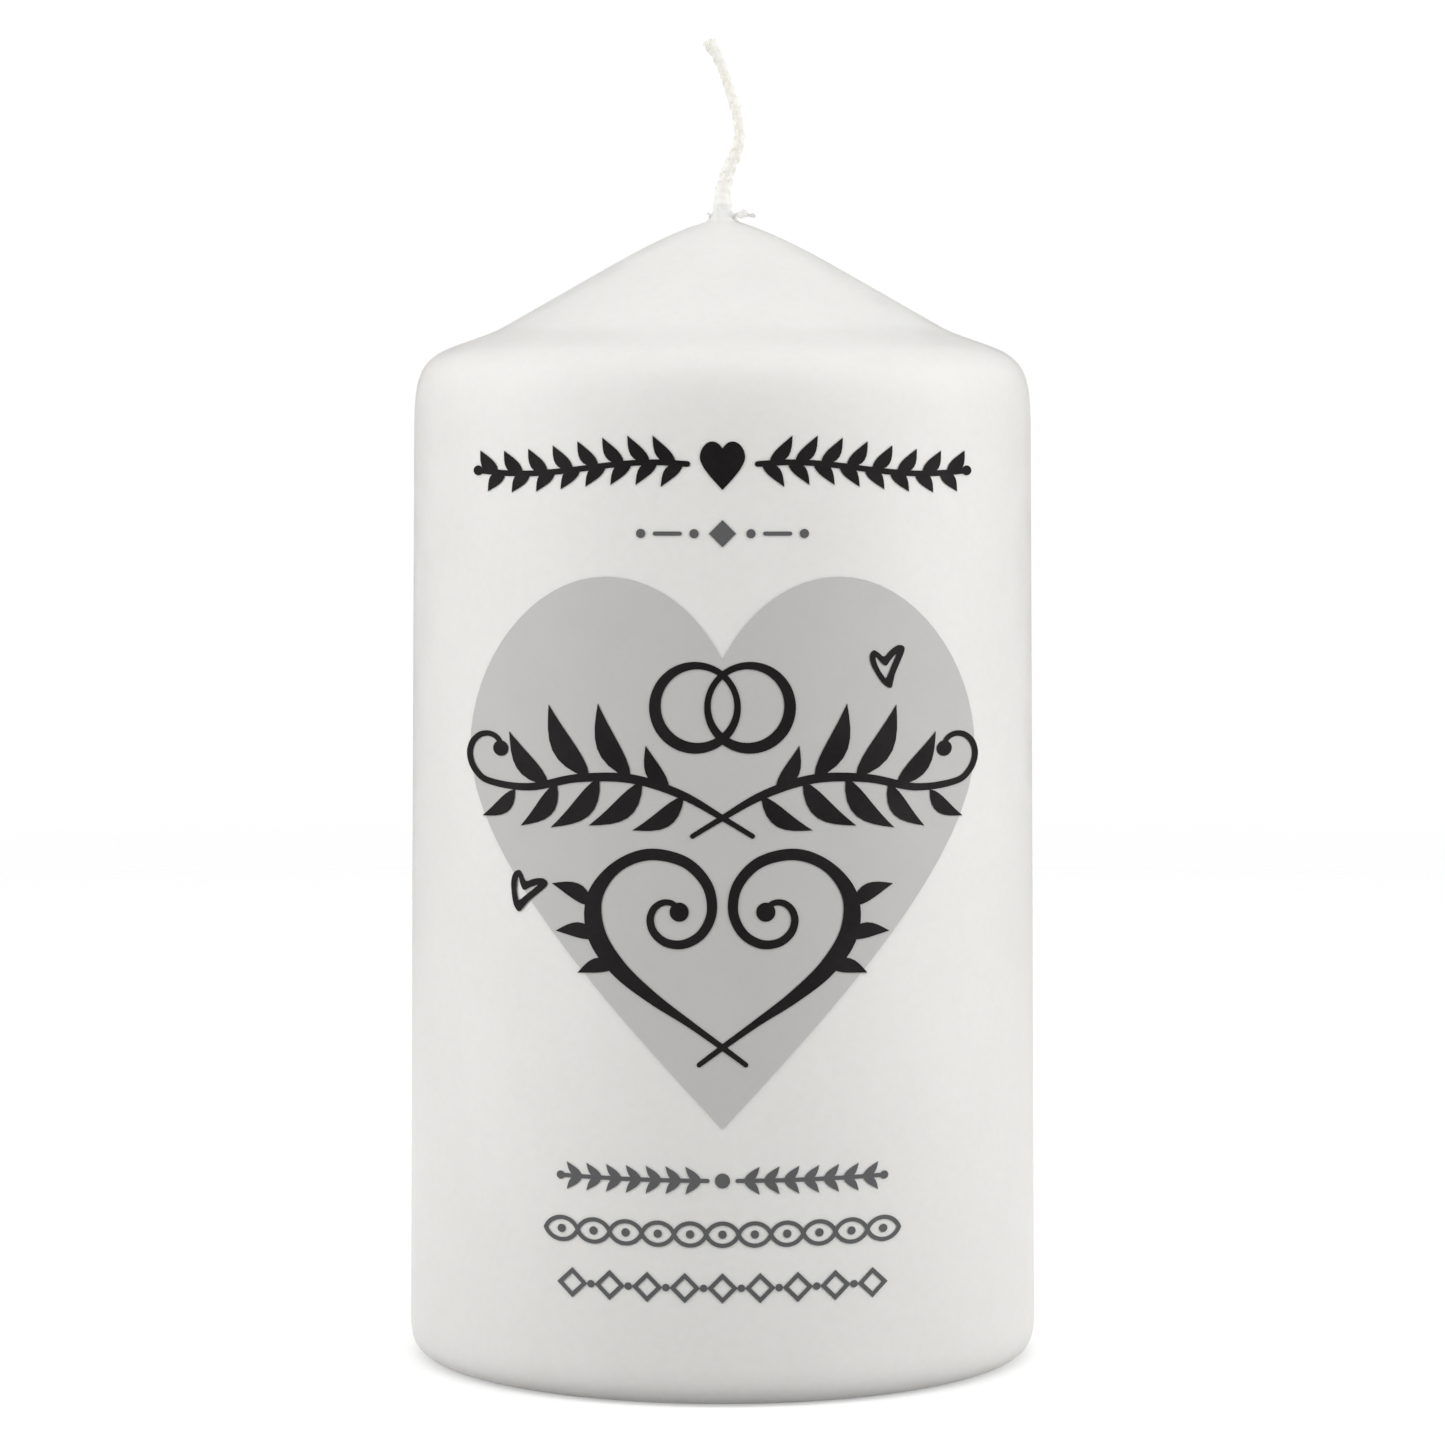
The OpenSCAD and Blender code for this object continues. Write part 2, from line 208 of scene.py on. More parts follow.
class Material:
    """A node material with short calls for the nodes that the looks here share."""

    def __init__(self, name, **sockets):
        self.material = bpy.data.materials.new(name)
        self.material.use_nodes = True
        self.nodes = self.material.node_tree.nodes
        self.links = self.material.node_tree.links
        self.shader = self.nodes["Principled BSDF"]
        self.place = self.nodes.new("ShaderNodeTexCoord").outputs["Object"]
        for key, value in sockets.items():
            self.shader.inputs[key.replace("_", " ")].default_value = value

    def noise(self, size, detail=3, roughness=0.5, stretch=(1, 1, 1)):
        """Noise whose features are about size across, in metres."""
        mapping = self.nodes.new("ShaderNodeMapping")
        mapping.inputs["Scale"].default_value = [1 / (size * s) for s in stretch]
        self.links.new(self.place, mapping.inputs["Vector"])
        texture = self.nodes.new("ShaderNodeTexNoise")
        texture.inputs["Scale"].default_value = 1
        texture.inputs["Detail"].default_value = detail
        texture.inputs["Roughness"].default_value = roughness
        self.links.new(mapping.outputs["Vector"], texture.inputs["Vector"])
        return texture.outputs["Fac"]

    def ramp(self, factor, stops):
        """Colours or greys along a factor: [(position, colour), ...]."""
        ramp = self.nodes.new("ShaderNodeValToRGB")
        band = ramp.color_ramp
        while len(band.elements) < len(stops):
            band.elements.new(0.5)
        for element, (position, colour) in zip(band.elements, stops):
            if isinstance(colour, (int, float)):
                colour = (colour,) * 3
            element.position = position
            element.color = (*colour, 1)
        self.links.new(factor, ramp.inputs["Fac"])
        return ramp.outputs["Color"]

    def mix(self, factor, a, b):
        """Mixes two colour outputs by a number or an output."""
        mix = self.nodes.new("ShaderNodeMix")
        mix.data_type = "RGBA"
        if isinstance(factor, (int, float)):
            mix.inputs["Factor"].default_value = factor
        else:
            self.links.new(factor, mix.inputs["Factor"])
        self.links.new(a, mix.inputs["A"])
        self.links.new(b, mix.inputs["B"])
        return mix.outputs["Result"]

    def colour(self, output):
        self.links.new(output, self.shader.inputs["Base Color"])

    def roughness(self, output):
        self.links.new(output, self.shader.inputs["Roughness"])

    def bumps(self, *layers):
        """Stacks bumps: (height output, strength, distance in metres)."""
        before = None
        for height, strength, distance in layers:
            bump = self.nodes.new("ShaderNodeBump")
            bump.inputs["Strength"].default_value = strength
            bump.inputs["Distance"].default_value = distance
            self.links.new(height, bump.inputs["Height"])
            if before:
                self.links.new(before, bump.inputs["Normal"])
            before = bump.outputs["Normal"]
        self.links.new(before, self.shader.inputs["Normal"])


def coat_wax():
    """Hard, satin paraffin skin: faint clouding, fine orange peel and a soft glow."""
    wax = Material(
        "coat_wax", IOR=1.44, Specular_IOR_Level=0.3, Subsurface_Weight=0.35,
        Subsurface_Scale=1.2 * MM, Subsurface_Radius=WAX_GLOW,
    )
    clouds = wax.ramp(
        wax.noise(14 * MM, detail=4, stretch=(1, 1, 1.6)),
        [(0.3, (0.815, 0.801, 0.775)), (0.7, (0.85, 0.841, 0.817))],
    )
    frost = wax.ramp(
        wax.noise(1.1 * MM, detail=6, roughness=0.65),
        [(0.35, (0.80, 0.789, 0.765)), (0.62, (0.85, 0.841, 0.817))],
    )
    wax.colour(wax.mix(0.35, clouds, frost))
    wax.roughness(wax.ramp(wax.noise(5 * MM, detail=5), [(0.3, 0.36), (0.75, 0.5)]))
    wax.bumps(
        (wax.noise(9 * MM, detail=2), 0.3, 0.2 * MM),
        (wax.noise(1.8 * MM), 0.35, 0.04 * MM),
        (wax.noise(0.35 * MM, roughness=0.6), 0.45, 0.015 * MM),
    )
    return wax.material


def core_wax():
    """Pressed wax: dull, with packed grains."""
    wax = Material(
        "core_wax", IOR=1.44, Subsurface_Weight=0.25, Subsurface_Scale=1 * MM,
        Subsurface_Radius=WAX_GLOW,
    )
    grains = wax.noise(0.9 * MM, roughness=0.6)
    wax.colour(wax.ramp(grains, [(0.3, (0.74, 0.72, 0.675)), (0.65, (0.83, 0.815, 0.775))]))
    wax.roughness(wax.ramp(grains, [(0.3, 0.75), (0.7, 0.55)]))
    wax.bumps((grains, 0.7, 0.12 * MM), (wax.noise(8 * MM), 0.4, 0.2 * MM))
    return wax.material


def ink(name, dark, light, fade, gloss=0.2):
    """Thin satin ink: slight speckle, and patches where it fades a little."""
    film = Material(name, Specular_IOR_Level=gloss)
    speckle = film.ramp(film.noise(0.5 * MM, detail=5, roughness=0.7), [(0.3, dark), (0.75, light)])
    wear = film.ramp(film.noise(6 * MM), [(0.35, dark), (0.8, fade)])
    film.colour(film.mix(0.4, speckle, wear))
    film.roughness(film.ramp(film.noise(2.5 * MM, detail=4), [(0.3, 0.5), (0.7, 0.65)]))
    film.bumps((film.noise(0.3 * MM, detail=2), 0.25, 0.01 * MM))
    return film.material


def wick_cotton():
    """Cream cotton under a film of wax, which is thick and white at the foot of the wick."""
    cotton = Material(
        "wick_cotton", IOR=1.44, Specular_IOR_Level=0.25, Sheen_Weight=0.1, Sheen_Roughness=0.5,
    )
    fibres = cotton.noise(0.16 * MM, roughness=0.6, stretch=(1, 1, 7))
    tone = cotton.ramp(fibres, [(0.3, (0.865, 0.85, 0.785)), (0.7, (0.89, 0.88, 0.83))])
    waxy = cotton.ramp(
        cotton.noise(2.2 * MM), [(0.38, (0.87, 0.855, 0.775)), (0.62, (0.885, 0.88, 0.84))]
    )
    body = cotton.mix(0.55, tone, waxy)
    height = cotton.nodes.new("ShaderNodeSeparateXYZ")
    cotton.links.new(cotton.place, height.inputs["Vector"])
    film = cotton.nodes.new("ShaderNodeMapRange")
    film.inputs["From Min"].default_value = CREST_Z + FILM_END[1]
    film.inputs["From Max"].default_value = CREST_Z + FILM_END[0]
    cotton.links.new(height.outputs["Z"], film.inputs["Value"])
    wax = cotton.ramp(fibres, [(0.3, (0.845, 0.837, 0.815)), (0.7, (0.86, 0.855, 0.835))])
    cotton.colour(cotton.mix(film.outputs["Result"], body, wax))
    cotton.roughness(cotton.ramp(cotton.noise(1.2 * MM), [(0.3, 0.42), (0.7, 0.66)]))
    cotton.bumps((fibres, 0.15, 0.01 * MM))
    return cotton.material


def tinned_steel():
    """Stamped tinned sheet: soft spangle and drawn scratches."""
    tin = Material("tinned_steel", Metallic=1.0)
    spangle = tin.noise(2.2 * MM, detail=2)
    scratches = tin.noise(0.15 * MM, stretch=(12, 1, 1))
    tin.colour(tin.ramp(spangle, [(0.35, (0.52, 0.53, 0.54)), (0.65, (0.66, 0.67, 0.68))]))
    tin.roughness(tin.ramp(scratches, [(0.3, 0.26), (0.7, 0.44)]))
    tin.bumps((scratches, 0.2, 0.01 * MM), (spangle, 0.1, 0.02 * MM))
    return tin.material


MATERIALS = {
    "coat_wax": coat_wax(),
    "core_wax": core_wax(),
    "wick_cotton": wick_cotton(),
    "tinned_steel": tinned_steel(),
    "pale_grey_ink": ink(
        "pale_grey_ink", (0.535, 0.53, 0.52), (0.565, 0.56, 0.55), (0.58, 0.575, 0.56)
    ),
    "dark_grey_ink": ink(
        "dark_grey_ink", (0.1, 0.101, 0.104), (0.125, 0.126, 0.13), (0.145, 0.145, 0.148)
    ),
    "black_ink": ink(
        "black_ink", (0.008, 0.0065, 0.0068), (0.016, 0.0135, 0.014), (0.026, 0.023, 0.0235),
        gloss=0.12,
    ),
}


# ---------- wax coat ----------

def turned_outline(node, outward):
    """[radius, height] of the corner rings on the outside or the inside of a turned node."""
    mesh = frame["nodes"][node].data
    least = 0.05  # a face that looks to the axis or away from it by less than this counts as level
    rings = set()
    for face in mesh.polygons:
        middle = Vector((face.center.x, face.center.y, 0)).normalized()
        facing = face.normal.dot(middle)
        ceiling = face.normal.z < -0.5 and face.center.z > CREST_Z / 2
        wanted = facing > least if outward else facing < -least or (ceiling and facing <= least)
        if wanted:
            for i in face.vertices:
                at = mesh.vertices[i].co
                rings.add((round(math.hypot(at.x, at.y), 6), round(at.z, 6)))
    return [Vector(ring) for ring in sorted(rings, key=lambda ring: (ring[1], -ring[0]))]


def evenly(line, step):
    """The same line with a point at least every step, its corners kept."""
    points = []
    for a, b in zip(line, line[1:]):
        count = max(1, math.ceil((b - a).length / step))
        points += [a.lerp(b, k / count) for k in range(count)]
    return points + [line[-1]]


def softened(line, passes):
    """The line with its corners eased, less so close to the wick."""
    for _ in range(passes):
        eased = [line[0]]
        for before, at, after in zip(line, line[1:], line[2:]):
            ease = 0.5 * between(WICK_ZONE / 2, 2 * WICK_ZONE, at.x)
            eased.append(at.lerp((before + after) / 2, ease))
        line = eased + [line[-1]]
    return line


CAD_OUTLINE = turned_outline("overdip_coat", True)
OUTLINE = softened(evenly(CAD_OUTLINE, RING_STEP), OUTLINE_EASE)


def outline_radius(z):
    """Radius of the coat's outline at a height on its straight side."""
    for a, b in zip(OUTLINE, OUTLINE[1:]):
        if a.y <= z <= b.y and b.y > a.y:
            return a.x + (b.x - a.x) * (z - a.y) / (b.y - a.y)
    return OUTLINE[0].x


def skin_noise(angle, z, around, upward, start=0):
    """Noise on the pillar, whose features are smaller for larger values of around and upward."""
    at = Vector((around * math.cos(angle), around * math.sin(angle), upward * z + start))
    return noise.noise(at)


def dent(angle, z):
    """How far the skin lies inside its outline. It never lies outside."""
    wide = skin_noise(angle, z, around=1.3, upward=16, start=3)
    fine = skin_noise(angle, z, around=6, upward=90, start=9)
    return DENT_DEPTH * (0.5 + 0.42 * wide + 0.08 * fine)


def gathering(angle, z):
    """Soft scallops where the dip ran slowly over the shoulder."""
    runs = 0.5 + 0.5 * skin_noise(angle, z, around=5, upward=40)
    return SAG_DEPTH * runs * between(*SAG_START, z) * (1 - between(*SAG_END, z))


def collar_lump(angle, radius, z):
    """Lumps where the wax climbs the wick."""
    close = 1 - between(*COLLAR_LUMP_END, radius)
    return COLLAR_LUMP * close * skin_noise(angle, z, around=2, upward=900)


def turned(radius, z, angle):
    """Point at a radius and a height, turned by an angle from the front."""
    return (radius * math.sin(angle), -radius * math.cos(angle), z)


def make_coat():
    """The dipped skin: the outer surface with its small faults, and the inner wall round the core."""
    inner = list(reversed(turned_outline("overdip_coat", False)))
    angles = [math.tau * k / TURN_STEPS for k in range(TURN_STEPS)]
    verts = []
    last = len(OUTLINE) - 1
    for i, ring in enumerate(OUTLINE):
        along = (OUTLINE[min(i + 1, last)] - OUTLINE[max(i - 1, 0)]).normalized()
        out = Vector((along.y, -along.x))
        off_foot = between(0, FOOT_ZONE, ring.y)
        tuck = COLLAR_TUCK * between(COLLAR_TOP - COLLAR_TUCK_ZONE, COLLAR_TOP, ring.y)
        for angle in angles:
            shift = collar_lump(angle, ring.x, ring.y) - dent(angle, ring.y)
            shift -= gathering(angle, ring.y)
            r, z = ring + out * (shift * off_foot - tuck)
            verts.append(turned(r, z, angle))
    for ring in inner:
        verts += [turned(ring.x, ring.y, angle) for angle in angles]
    rings = len(OUTLINE) + len(inner)
    faces = []
    for i in range(rings):
        a, b = i * TURN_STEPS, (i + 1) % rings * TURN_STEPS
        for k in range(TURN_STEPS):
            after = (k + 1) % TURN_STEPS
            faces.append((a + k, a + after, b + after, b + k))
    coat = new_piece("wax_coat", verts, faces, MATERIALS["coat_wax"])
    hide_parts("overdip_coat")


def flake(base, ahead, across, length, width, curl, verts, faces):
    """Adds a thin, curled and ragged shaving of wax, closed all round."""
    steps, lanes, thick = 18, 6, 0.1 * MM
    ahead, across = Vector(ahead).normalized(), Vector(across).normalized()
    out = ahead.cross(across)
    first = len(verts)
    for layer in (-0.5, 0.5):
        for i in range(steps + 1):
            t = i / steps
            taper = math.sin(math.pi * (0.12 + 0.84 * t)) ** 0.7
            bow = curl * length * math.sin(4.4 * t - 0.6)
            for j in range(lanes + 1):
                s = 2 * j / lanes - 1
                ragged = 0.75 + 0.9 * noise.noise(Vector((4.5 * t, 1.5 * s, length / MM + 2)))
                wave = 0.3 * math.sin(5 * t + s) + 0.3 * s * s + 0.3 * noise.noise(Vector((5 * t, s, 4)))
                at = Vector(base) + ahead * length * t + across * (s * width / 2 * taper * ragged + bow)
                verts.append(at + out * (wave * width + layer * thick * (0.4 + 0.6 * taper)))
    row = lanes + 1
    sheet = row * (steps + 1)
    for i in range(steps):
        for j in range(lanes):
            a = first + row * i + j
            faces.append((a, a + 1, a + row + 1, a + row))
            faces.append((a + sheet, a + sheet + row, a + sheet + row + 1, a + sheet + 1))
    rim = list(range(row)) + [row * i + lanes for i in range(1, steps + 1)]
    rim += [row * steps + j for j in reversed(range(lanes))]
    rim += [row * i for i in reversed(range(1, steps))]
    for a, b in zip(rim, rim[1:] + rim[:1]):
        faces.append((first + b, first + a, first + a + sheet, first + b + sheet))


# Shavings: place from the crest, direction, width direction, length, width (mm) and curl
SHAVINGS = [
    ((1.0, -0.9, 0.35), (1, -0.1, 0.14), (0.1, 0.35, 1), 3.2, 1.25, 0.07),
    ((-1.5, -0.7, 0.35), (-0.35, -0.3, 0.9), (0.9, 0.3, 0.3), 0.9, 0.4, 0.1),
    ((-4.6, -0.3, -1.55), (0.12, -0.1, 1), (1, 0, 0), 0.85, 0.18, 0.1),
    ((0.9, 0.9, 0.4), (0.6, 0.8, 0.25), (0.2, -0.3, 1), 1.5, 0.8, 0.1),
]


def make_shavings():
    """Crumbs and curled shavings of wax stuck to the cone and to the wick."""
    verts, faces = [], []
    crest = Vector((0, 0, CREST_Z))
    for place, ahead, across, length, width, curl in SHAVINGS:
        base = crest + Vector(place) * MM
        flake(base, ahead, across, length * MM, width * MM, curl, verts, faces)
    new_piece("wax_shavings", verts, faces, MATERIALS["coat_wax"])


# ---------- wick ----------

# Beads of wax on the wick: height above the crest, angle round the wick in degrees, size (mm)
BEADS = [
    (1.6, 190, 0.5), (2.1, -15, 0.45), (2.4, 100, 0.5), (3.6, -20, 0.42), (4.2, 185, 0.4), (5.4, 60, 0.3),
    (8.9, 200, 0.42), (9.6, 20, 0.25), (12.4, 170, 0.22), (15.2, -30, 0.2), (18.3, 175, 0.2),
]
# Shape of a bead: height and radius, as parts of its size
BEAD_SHAPE = [(-1.2, 0.1), (-0.7, 0.6), (0, 0.8), (0.6, 0.55), (1, 0.1)]


def wick_width(z):
    """Width of the waxed wick at a height above the crest."""
    stout = WICK_STOUT * (1 - between(*STOUT_END, z))
    return WICK_SLIM + stout + WICK_SPLAY * between(*SPLAY_START, z)


def yarn_path(path, strand, yarn):
    """Route and radii of one yarn of one strand of the plait that follows a path."""
    route, radii = [], []
    run = 0
    before = path[0]
    for at, side, across in with_sides(path):
        run += (at - before).length
        before = at
        weave = math.tau * (run / PLAIT_PITCH + strand / STRANDS)
        twist = math.tau * (run / YARN_TWIST + yarn / YARNS)
        u = PLAIT_HALF_WIDTH * math.sin(weave) + YARN_OFFSET * math.cos(twist)
        v = PLAIT_HALF_DEPTH * math.sin(2 * weave) + YARN_OFFSET * math.sin(twist)
        width = wick_width(at.z - CREST_Z)
        uneven = 1 + 0.16 * noise.noise(at * 1100 + Vector((7 * yarn, 3 * strand, 0)))
        route.append(at + (side * u + across * v) * width)
        radii.append(YARN_RADIUS * width * uneven)
    return route, radii


def add_plait(path, verts, faces):
    """Adds every yarn of a plait along a path, each cut off at its own length."""
    for strand in range(STRANDS):
        for yarn in range(YARNS):
            route, radii = yarn_path(path, strand, yarn)
            end = len(route) - random.randint(0, 3)
            tube(route[:end], radii[:end], YARN_SIDES, verts, faces)


def add_wax(path, verts, faces):
    """Adds the wax in the middle of the plait, which swallows it at its foot, and beads on it."""
    short = path[:-4]  # the wax ends a little below the cut
    radii = []
    for at in short:
        z = at.z - CREST_Z
        share = WAX_CORE + WAX_FOOT * (1 - between(*WAX_FOOT_END, z))
        radii.append(share * wick_width(z) * (1 + 0.2 * noise.noise(at * 1500)))
    tube(short, radii, 24, verts, faces)
    for z, degrees, size in BEADS:
        near = min(path, key=lambda at: abs(at.z - CREST_Z - z * MM))
        out = Vector((math.cos(math.radians(degrees)), -math.sin(math.radians(degrees)), 0))
        middle = near + out * (0.4 * wick_width(z * MM))
        lean = Vector((0.2 * out.x, 0.2 * out.y, 1)) * size * MM
        drop = [middle + lean * along for along, _ in BEAD_SHAPE]
        tube(drop, [size * MM * share for _, share in BEAD_SHAPE], YARN_SIDES, verts, faces)


def waxed(verts, faces):
    """One closed skin over overlapping yarns, its creases eased as a film of wax fills them."""
    plait = bpy.data.objects.new("plait", bpy.data.meshes.new("plait"))
    plait.data.from_pydata([v / MM for v in verts], [], faces)  # in mm, as no voxel is under 0.0001
    bpy.context.scene.collection.objects.link(plait)
    skin = plait.modifiers.new("skin", "REMESH")
    skin.mode = "VOXEL"
    skin.voxel_size = WAXED_VOXEL / MM
    ease = plait.modifiers.new("ease", "SMOOTH")
    ease.factor = 0.5
    ease.iterations = WAXED_EASE
    view = bpy.context.evaluated_depsgraph_get()
    mesh = bpy.data.meshes.new_from_object(plait.evaluated_get(view))
    bpy.data.objects.remove(plait)
    return [v.co * MM for v in mesh.vertices], [tuple(p.vertices) for p in mesh.polygons]


def add_fuzz(path, verts, faces):
    """Adds short loose fibres that stand off the wick, more of them at its cut end."""
    for _ in range(FUZZ_FIBRES):
        place = random.random() ** 0.5
        at = path[min(int(place * len(path)), len(path) - 1)]
        angle = random.uniform(0, math.tau)
        out = Vector((math.cos(angle), 0.7 * math.sin(angle), random.uniform(-0.3, 0.9))).normalized()
        start = at + out * 0.42 * wick_width(at.z - CREST_Z)
        length = random.uniform(*FIBRE_LENGTHS) * MM
        sway = Vector([random.uniform(-1, 1) for _ in range(3)]) * 0.3 * length
        bends = [start, start + out * length * 0.5 + sway, start + out * length + sway * 0.4]
        route = smooth_path(bends, FIBRE_STEP)
        tube(route, [FIBRE_RADIUS] * len(route), 3, verts, faces)


def make_wick():
    """The plaited wick: loose end and lower end in full, and a plain run hidden in the wax."""
    stub = [Vector(p) * MM + Vector((0, 0, CREST_Z)) for p in WICK_STUB]
    upper = smooth_path(stub, WICK_STEP)
    lower = smooth_path([Vector((0, 0, WICK_FOOT_Z + z * MM)) for z in (4, 2, 0)], 0.2 * MM)
    yarns, sides = [], []
    add_plait(upper, yarns, sides)
    add_wax(upper, yarns, sides)
    verts, faces = waxed(yarns, sides)
    add_plait(lower, verts, faces)
    add_fuzz(upper[len(upper) // 4:], verts, faces)
    lap = Vector((0, 0, 0.5 * MM))
    tube([lower[0] - lap, upper[0] + lap], [0.6 * MM] * 2, 12, verts, faces)
    wick = new_piece("braided_wick", verts, faces, MATERIALS["wick_cotton"])
    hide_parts("wick")


# ---------- print ----------

# [radius, height] of the ends of the CAD model's straight side
SIDE_LOW = max(CAD_OUTLINE, key=lambda p: p.x)
SIDE_HIGH = min((p for p in CAD_OUTLINE if SIDE_FOOT < p.y < SIDE_TOP + 2 * MM), key=lambda p: p.x)


def flat_level(at):
    """Height of a point of the CAD print above the CAD wax."""
    along = (at.z - SIDE_LOW.y) / (SIDE_HIGH.y - SIDE_LOW.y)
    return math.hypot(at.x, at.y) - (SIDE_LOW.x + (SIDE_HIGH.x - SIDE_LOW.x) * along)


def drop_inner_walls(sheet):
    """Deletes the walls inside a flat sheet of ink, where two solids of the CAD print touch."""
    sheet.normal_update()
    inner = []
    for face in sheet.faces:
        level_edges = [edge for edge in face.edges if edge.verts[0].co.y == edge.verts[1].co.y]
        upright = abs(face.normal.y) < 0.5
        if upright and any(len(edge.link_faces) > 2 for edge in level_edges):
            inner.append(face)
    bmesh.ops.delete(sheet, geom=inner, context="FACES")


def wrap_print(node):
    """The CAD print laid on the finished wax: unrolled, cut in narrow strips and wrapped again."""
    slot_name = next(s["material_slot"] for s in frame["record"]["subparts"] if s["node"] == node)
    sheet = bmesh.new()
    sheet.from_mesh(frame["nodes"][node].data)
    for vert in sheet.verts:
        layers = round(flat_level(vert.co) / INK)
        vert.co = Vector((vert.co.x, -layers * INK, vert.co.z))
    bmesh.ops.remove_doubles(sheet, verts=sheet.verts, dist=WELD)
    drop_inner_walls(sheet)
    low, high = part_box(node)
    for axis, step in ((0, STRIP), (2, 4 * STRIP)):
        normal = [0, 0, 0]
        normal[axis] = 1
        for k in range(1, math.ceil((high[axis] - low[axis]) / step)):
            at = [0, 0, 0]
            at[axis] = low[axis] + k * step
            everything = sheet.verts[:] + sheet.edges[:] + sheet.faces[:]
            bmesh.ops.bisect_plane(sheet, geom=everything, dist=WELD, plane_co=at, plane_no=normal)
    for vert in sheet.verts:
        x, z = vert.co.x, vert.co.z
        level = -vert.co.y or -SINK
        side = outline_radius(z)
        r = side - dent(math.asin(x / side), z) + level
        vert.co = Vector((x, -math.sqrt(r * r - x * x), z))
    mesh = bpy.data.meshes.new(node + "_ink")
    sheet.to_mesh(mesh)
    sheet.free()
    piece = finish_piece(node + "_ink", mesh, MATERIALS[slot_name])
    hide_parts(node)


# ---------- stage ----------

FLOOR_RADIUS = 0.9
FLOOR_SOLID = 0.16  # part of the radius inside which the floor is opaque
FLOOR_GLOW = 0.3
CARD_RADIUS = 0.3
CARD_GREY = 0.37
BACKDROP_RADIUS = 8
LIGHT_DISTANCE = 0.9
LIGHT_AIM = Vector((0, 0, 80)) * MM
SURROUND_GLOW = 0.58

# Soft boxes: name, azimuth (0 is the camera's side), elevation, size in metres and watts
SOFT_BOXES = [
    ("left_front_box", -60, 15, (0.5, 0.9), 2.35),
    ("left_side_box", -85, 15, (0.5, 0.9), 2.15),
    ("right_front_box", 60, 15, (0.5, 0.9), 2.35),
    ("right_side_box", 85, 15, (0.5, 0.9), 2.45),
    ("overhead_box", 0, 60, (0.8, 0.4), 1.05),
    ("back_box", 180, 50, (0.8, 0.5), 0.7),
]


def disc(name, radius, z, paint):
    """A flat round piece of the stage."""
    steps = 96
    rim = [math.tau * k / steps for k in range(steps)]
    verts = [(radius * math.cos(a), radius * math.sin(a), z) for a in rim]
    mesh = bpy.data.meshes.new(name)
    mesh.from_pydata(verts, [], [tuple(range(steps))])
    mesh.materials.append(paint.material)
    piece = bpy.data.objects.new(name, mesh)
    bpy.context.scene.collection.objects.link(piece)
    return piece


def make_floor():
    """A plain pale floor that fades into the backdrop, and a grey card that shades the foot."""
    paint = Material("floor_paint", Base_Color=(0.9, 0.9, 0.9, 1), Roughness=0.9)
    paint.shader.inputs["Emission Color"].default_value = (1, 1, 1, 1)
    paint.shader.inputs["Emission Strength"].default_value = FLOOR_GLOW
    fade = paint.nodes.new("ShaderNodeTexGradient")
    fade.gradient_type = "SPHERICAL"
    reach = paint.nodes.new("ShaderNodeMapping")
    reach.inputs["Scale"].default_value = (1 / FLOOR_RADIUS,) * 3
    paint.links.new(paint.place, reach.inputs["Vector"])
    paint.links.new(reach.outputs["Vector"], fade.inputs["Vector"])
    solid = paint.ramp(fade.outputs["Fac"], [(0, 0), (1 - FLOOR_SOLID, 1)])
    paint.links.new(solid, paint.shader.inputs["Alpha"])
    floor = disc("floor", FLOOR_RADIUS, 0, paint)
    floor.visible_diffuse = False
    floor.visible_shadow = False
    grey = Material("card", Base_Color=(CARD_GREY, CARD_GREY, CARD_GREY, 1))
    card = disc("grey_card", CARD_RADIUS, -1 * MM, grey)
    card.visible_camera = False


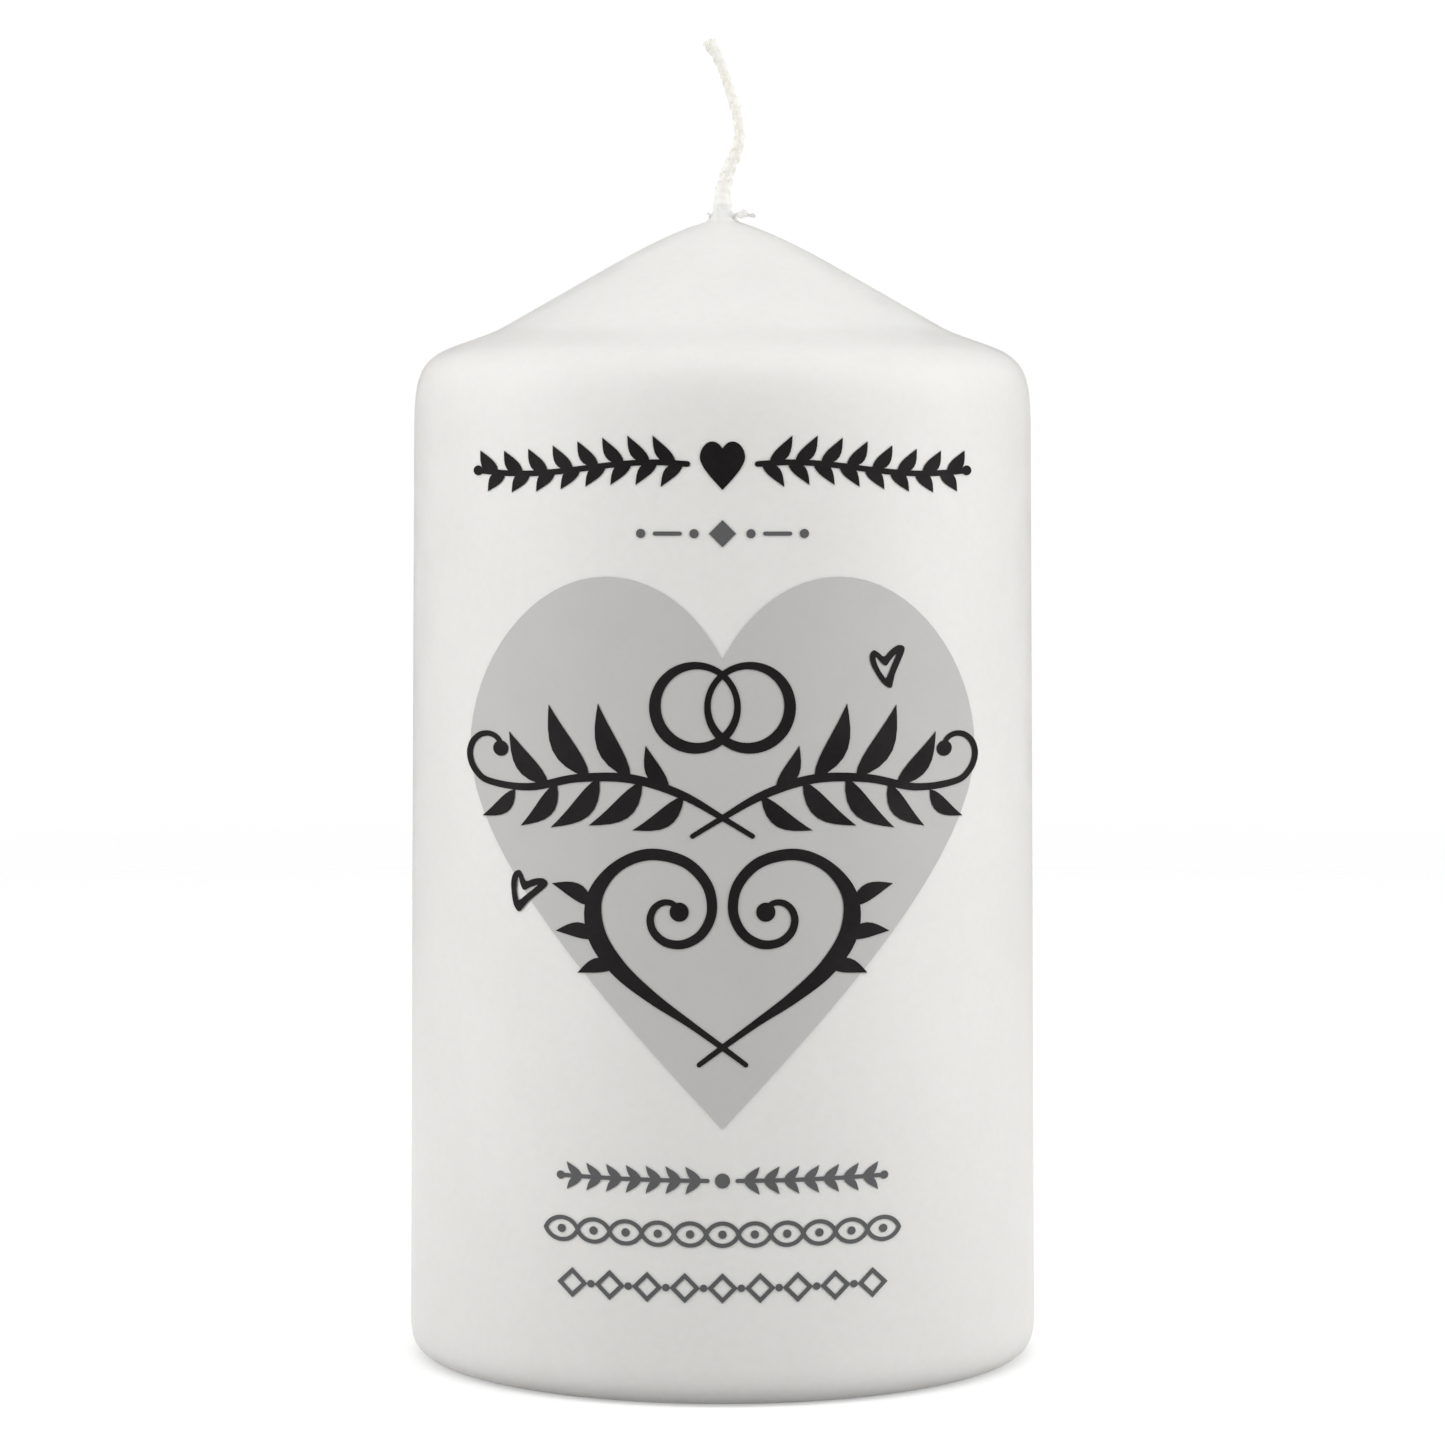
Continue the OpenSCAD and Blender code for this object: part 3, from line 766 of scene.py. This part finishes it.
def make_backdrop():
    """A white surround that the camera sees, and that neither lights nor shades the candle."""
    mesh = bpy.data.meshes.new("backdrop")
    ball = bmesh.new()
    bmesh.ops.create_icosphere(ball, subdivisions=4, radius=BACKDROP_RADIUS)
    ball.to_mesh(mesh)
    ball.free()
    backdrop = bpy.data.objects.new("backdrop", mesh)
    glow = Material("backdrop_white", Base_Color=(0, 0, 0, 1), Emission_Color=(1, 1, 1, 1))
    glow.shader.inputs["Emission Strength"].default_value = 1
    glow.shader.inputs["Specular IOR Level"].default_value = 0
    mesh.materials.append(glow.material)
    backdrop.visible_diffuse = False
    backdrop.visible_glossy = False
    backdrop.visible_transmission = False
    backdrop.visible_shadow = False
    bpy.context.scene.collection.objects.link(backdrop)


def soft_box(name, azimuth, elevation, size, power):
    """A soft light that shines on the candle from angles given in degrees."""
    light = bpy.data.lights.new(name, "AREA")
    light.shape = "RECTANGLE"
    light.size, light.size_y = size
    light.energy = power
    turn, rise = math.radians(azimuth), math.radians(elevation)
    away = Vector((math.sin(turn) * math.cos(rise), -math.cos(turn) * math.cos(rise), math.sin(rise)))
    box = bpy.data.objects.new(name, light)
    box.location = LIGHT_AIM + away * LIGHT_DISTANCE
    box.rotation_euler = (-away).to_track_quat("-Z", "Y").to_euler()
    bpy.context.scene.collection.objects.link(box)


def light_stage():
    """The soft boxes, and an even pale surround."""
    for box in SOFT_BOXES:
        soft_box(*box)
    world = bpy.data.worlds.new("surround")
    world.use_nodes = True
    world.node_tree.nodes["Background"].inputs["Color"].default_value = (1, 1, 1, 1)
    world.node_tree.nodes["Background"].inputs["Strength"].default_value = SURROUND_GLOW
    world.cycles_visibility.glossy = False  # only the boxes shine, so the pillar's rims stay darker
    bpy.context.scene.world = world


def make_camera():
    """The camera, at the photograph's viewing angle."""
    camera = bpy.data.objects.new("camera", bpy.data.cameras.new("camera"))
    camera.data.lens = LENS_MM
    camera.data.clip_start = 0.01
    camera.location = CAMERA_AT
    camera.rotation_euler = (CAMERA_AIM - CAMERA_AT).to_track_quat("-Z", "Y").to_euler()
    bpy.context.scene.collection.objects.link(camera)
    bpy.context.scene.camera = camera


make_camera()
make_floor()
make_backdrop()
light_stage()
bpy.context.scene.view_settings.view_transform = "Standard"

make_coat()
make_shavings()
make_wick()
for node_name in frame["nodes"]:
    if node_name.startswith("print_"):
        wrap_print(node_name)
for node_name, slot_name in (("wax_core", "core_wax"), ("wick_sustainer", "tinned_steel")):
    for slot in frame["nodes"][node_name].material_slots:  # these two stay as the CAD has them
        slot.material = MATERIALS[slot_name]
